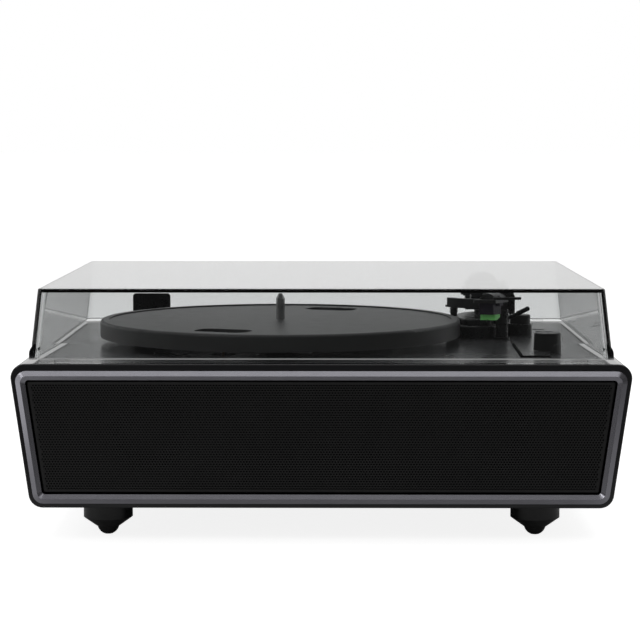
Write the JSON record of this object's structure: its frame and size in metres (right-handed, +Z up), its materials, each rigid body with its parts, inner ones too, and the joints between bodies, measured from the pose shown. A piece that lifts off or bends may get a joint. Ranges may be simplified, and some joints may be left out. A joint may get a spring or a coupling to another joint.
{
  "type": "record player",
  "caption": "Desktop record player with a black trapezoid cabinet, wide speaker grille, cone feet, clear hinged dust cover, platter and straight tonearm.",
  "frame": {"origin": "on the floor, under the middle of the whole object", "axes": "+X to the right, along the width; +Y to the back; +Z up"},
  "size_m": [0.4548, 0.3586, 0.1882],
  "materials": {
    "cabinet": "black lacquer, glossy",
    "baffle_board": "matt black",
    "deck": "fine satin",
    "bezel": "satin, slightly violet grey",
    "grille": "black powder coat, perforated",
    "speaker_metal": "black",
    "speaker_paper": "black paper",
    "magnet": "ferrite",
    "rear_plastic": "black, lightly textured",
    "screw": "zinc plated",
    "foot": "satin black",
    "foot_rubber": "matt",
    "board": "circuit board",
    "socket": "black",
    "jack": "gold plated",
    "switch": "black",
    "motor": "plated steel",
    "bracket": "plain",
    "pulley": "turned",
    "belt": "flat belt",
    "bush": "turned",
    "chrome": "polished",
    "platter": "satin black",
    "arm_base": "satin black",
    "arm_metal": "satin anodised",
    "yoke": "black",
    "head": "dark grey",
    "cartridge": "black",
    "stylus_green": "green",
    "leads": "coated wire",
    "knob": "black",
    "cover": "clear",
    "hinge": "black"
  },
  "bodies": {
    "base": {"cabinet_shell": "cabinet", "deck_plate": "deck", "front_bezel": "bezel", "speaker_grille": "grille", "speaker_baffle": "baffle_board", "left_speaker_frame": "speaker_metal", "right_speaker_frame": "speaker_metal", "left_speaker_cone": "speaker_paper", "right_speaker_cone": "speaker_paper", "left_speaker_magnet": "magnet", "right_speaker_magnet": "magnet", "rear_panel": "rear_plastic", "rear_panel_screws": "screw", "front_left_foot": "foot", "front_right_foot": "foot", "rear_left_foot": "foot", "rear_right_foot": "foot", "foot_tips": "foot_rubber", "foot_screws": "screw", "amplifier_board": "board", "power_inlet": "socket", "line_out_jacks": "jack", "power_switch_frame": "switch", "drive_motor": "motor", "motor_bracket": "bracket", "motor_screws": "screw", "drive_belt": "belt", "bearing_bush": "bush", "arm_base": "arm_base", "pivot_post": "arm_metal", "arm_rest": "arm_base", "anti_skate_base": "arm_base", "volume_control": "bracket", "hinge_bases": "hinge", "hinge_pins": "screw"},
    "platter_body": {"platter": "platter", "spindle": "chrome"},
    "pulley_body": {"motor_pulley": "pulley"},
    "yoke_body": {"gimbal_yoke": "yoke", "pivot_screws": "chrome"},
    "tonearm_body": {"arm_barrel": "yoke", "arm_tube": "arm_metal", "headshell": "head", "finger_lift": "arm_metal", "cartridge_body": "cartridge", "stylus_holder": "stylus_green", "cantilever": "arm_metal", "cartridge_screws": "screw", "cartridge_leads": "leads"},
    "weight_body": {"counterweight": "chrome"},
    "dial_body": {"force_dial": "knob"},
    "lever_body": {"cue_lever": "chrome"},
    "lift_body": {"cue_platform": "arm_base"},
    "clip_body": {"arm_clip": "arm_base"},
    "skate_body": {"anti_skate_dial": "knob"},
    "knob_body": {"volume_knob": "knob"},
    "rocker_body": {"power_rocker": "switch"},
    "cover_body": {"lid": "cover", "hinge_leaves": "hinge", "lid_bumpers": "foot_rubber"}
  },
  "joints": [
    {"name": "lid_hinge", "type": "hinge", "parent": "base", "child": "cover_body", "pos_m": [0, 0.1753, 0.1391], "axis": [-1, 0, 0], "range_deg": [0, 65]},
    {"name": "platter_spin", "type": "hinge", "parent": "base", "child": "platter_body", "pos_m": [-0.034, -0.0097, 0.1467], "axis": [0, 0, -1], "continuous": true},
    {"name": "pulley_spin", "type": "hinge", "parent": "base", "child": "pulley_body", "pos_m": [-0.07498, -0.10962, 0.1427], "axis": [0, 0, -1], "continuous": true},
    {"name": "arm_swing", "type": "hinge", "parent": "base", "child": "yoke_body", "pos_m": [0.137, 0.0723, 0.1677], "axis": [0, 0, -1], "range_deg": [0, 46]},
    {"name": "arm_lift", "type": "hinge", "parent": "yoke_body", "child": "tonearm_body", "pos_m": [0.137, 0.0723, 0.1677], "axis": [1, 0, 0], "range_deg": [0, 1.5]},
    {"name": "cue_lever_turn", "type": "hinge", "parent": "base", "child": "lever_body", "pos_m": [0.1516, 0.0253, 0.1491], "axis": [1, 0, 0], "range_deg": [0, 35]},
    {"name": "cue_platform_slide", "type": "slide", "parent": "base", "child": "lift_body", "axis": [0, 0, -1], "range_m": [0, 0.00138]},
    {"name": "weight_travel", "type": "slide", "parent": "tonearm_body", "child": "weight_body", "axis": [0, 0.9991, -0.0419], "range_m": [0, 0.005]},
    {"name": "force_dial_turn", "type": "hinge", "parent": "weight_body", "child": "dial_body", "pos_m": [0.137, 0.09528, 0.16674], "axis": [0, 0.9991, -0.0419], "range_deg": [0, 720]},
    {"name": "arm_clip_turn", "type": "hinge", "parent": "base", "child": "clip_body", "pos_m": [0.1456, 0.0083, 0.174], "axis": [0, -1, 0], "range_deg": [0, 181]},
    {"name": "anti_skate_turn", "type": "hinge", "parent": "base", "child": "skate_body", "pos_m": [0.1644, 0.0433, 0.1477], "axis": [0, 0, -1], "range_deg": [0, 270]},
    {"name": "volume_turn", "type": "hinge", "parent": "base", "child": "knob_body", "pos_m": [0.175, -0.0777, 0.1407], "axis": [0, 0, -1], "range_deg": [0, 300]},
    {"name": "power_rocker_tilt", "type": "hinge", "parent": "base", "child": "rocker_body", "pos_m": [-0.09, 0.1653, 0.0747], "axis": [1, 0, 0], "range_deg": [0, 18]}
  ],
  "couplings": [
    {"joint": "pulley_spin", "follows": "platter_spin", "ratio": 15},
    {"joint": "cue_lever_turn", "follows": "arm_lift", "ratio": 23.333},
    {"joint": "cue_platform_slide", "follows": "arm_lift", "m_per_rad": 0.052903},
    {"joint": "force_dial_turn", "follows": "weight_travel", "rad_per_m": 2513.3}
  ]
}
